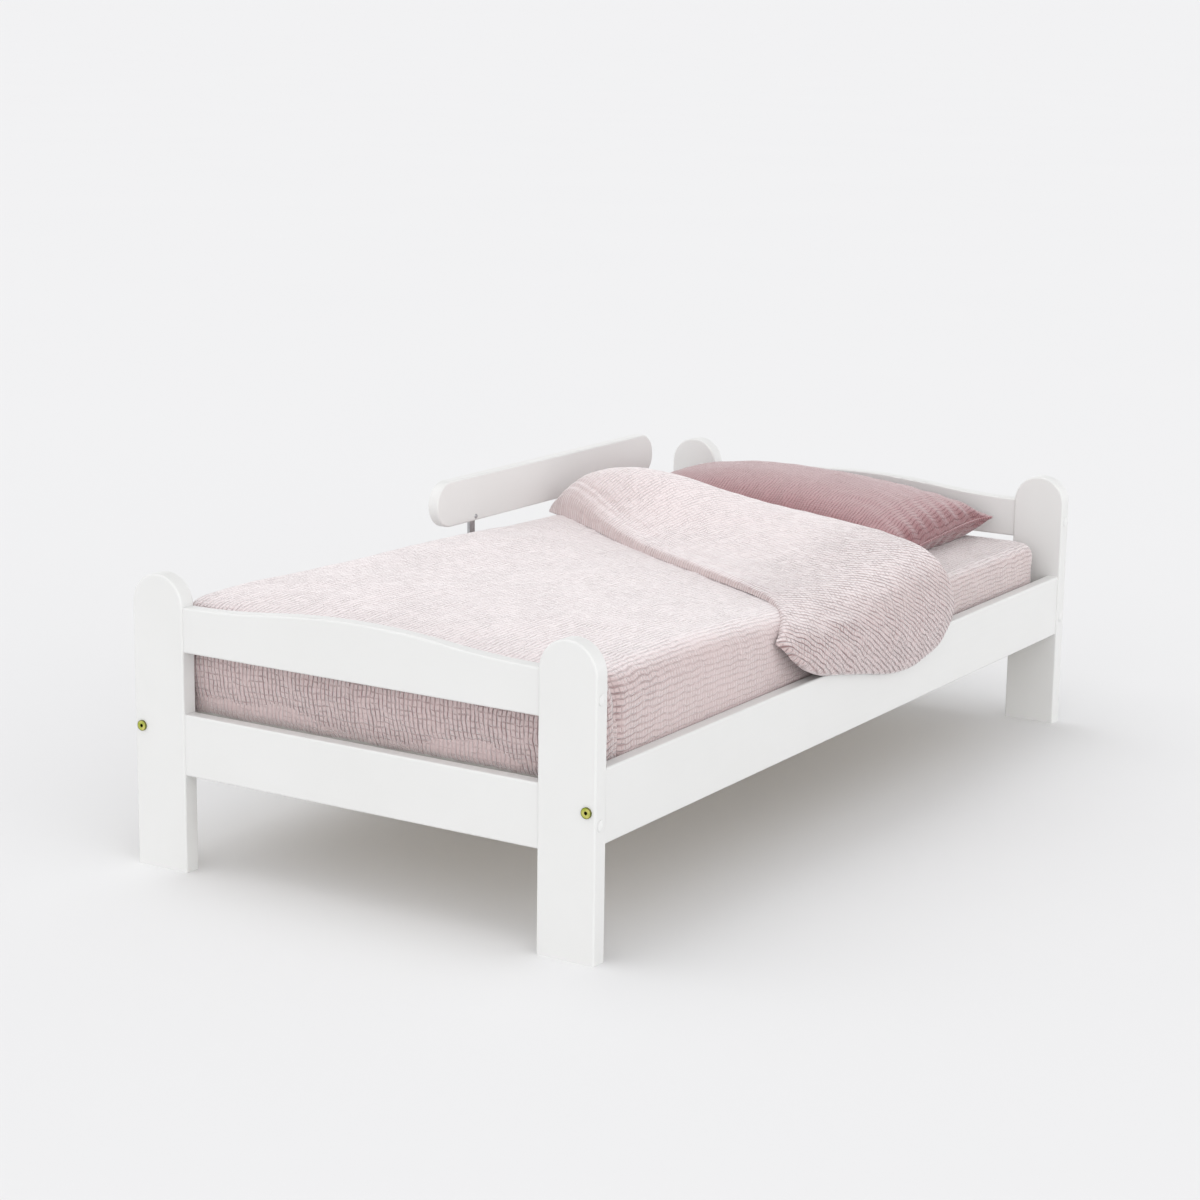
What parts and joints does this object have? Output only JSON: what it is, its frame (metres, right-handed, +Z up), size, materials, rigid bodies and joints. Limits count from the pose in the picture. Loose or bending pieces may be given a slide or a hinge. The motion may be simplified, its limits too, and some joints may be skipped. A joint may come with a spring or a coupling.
{
  "type": "toddler bed",
  "caption": "Low painted wooden child's bed with arched end rails, slatted base, lift-out guard board, mattress and gauze bedding.",
  "frame": {"origin": "on the floor, under the middle of the bed", "axes": "+Z up, +Y towards the head end with the pillow, +X towards the side without the guard board"},
  "size_m": [0.764, 1.485, 0.444],
  "materials": {
    "white_paint": "satin",
    "bare_pine": "matte",
    "beech": "matte",
    "slat_tape": "matte",
    "bright_steel": "satin",
    "yellow_zinc": "satin",
    "guard_steel": "satin",
    "white_plastic": "satin",
    "ticking": "matte",
    "pale_gauze": "matte",
    "mauve_gauze": "matte"
  },
  "bodies": {
    "frame": {"post_foot_left": "white_paint", "post_foot_right": "white_paint", "post_head_left": "white_paint", "post_head_right": "white_paint", "foot_rail_lower": "white_paint", "foot_rail_upper": "white_paint", "head_rail_lower": "white_paint", "head_rail_upper": "white_paint", "side_rail_left": "white_paint", "side_rail_right": "white_paint", "ledger_left": "bare_pine", "ledger_right": "bare_pine", "slat_1": "bare_pine", "slat_2": "bare_pine", "slat_3": "bare_pine", "slat_4": "bare_pine", "slat_5": "bare_pine", "slat_6": "bare_pine", "slat_7": "bare_pine", "slat_8": "bare_pine", "slat_9": "bare_pine", "slat_10": "bare_pine", "slat_11": "bare_pine", "slat_12": "bare_pine", "slat_tape_left": "slat_tape", "slat_tape_right": "slat_tape", "tape_staples": "bright_steel", "side_rail_nuts": "bright_steel", "end_rail_bolts": "bright_steel", "end_rail_nuts": "bright_steel", "ledger_screws": "bright_steel", "slat_screws": "bright_steel", "side_rail_bolts": "yellow_zinc", "side_rail_dowels": "beech", "end_rail_dowels": "beech", "bolt_caps": "white_plastic"},
    "guard": {"guard_board": "white_paint", "guard_bar_foot": "guard_steel", "guard_bar_head": "guard_steel", "guard_bolts": "guard_steel", "guard_nuts": "guard_steel"},
    "mattress": {"mattress": "ticking", "fitted_sheet": "pale_gauze"},
    "duvet": {"duvet": "pale_gauze"},
    "pillow": {"pillow": "mauve_gauze"}
  },
  "joints": [
    {"name": "guard_lift", "type": "slide", "parent": "frame", "child": "guard", "axis": [0, 0, 1], "range_m": [0, 0.12]},
    {"name": "mattress_lift", "type": "slide", "parent": "frame", "child": "mattress", "axis": [0, 0, 1], "range_m": [0, 0.3]},
    {"name": "duvet_lift", "type": "slide", "parent": "mattress", "child": "duvet", "axis": [0, 0, 1], "range_m": [0, 0.25]},
    {"name": "pillow_lift", "type": "slide", "parent": "mattress", "child": "pillow", "axis": [0, 0, 1], "range_m": [0, 0.15]}
  ]
}
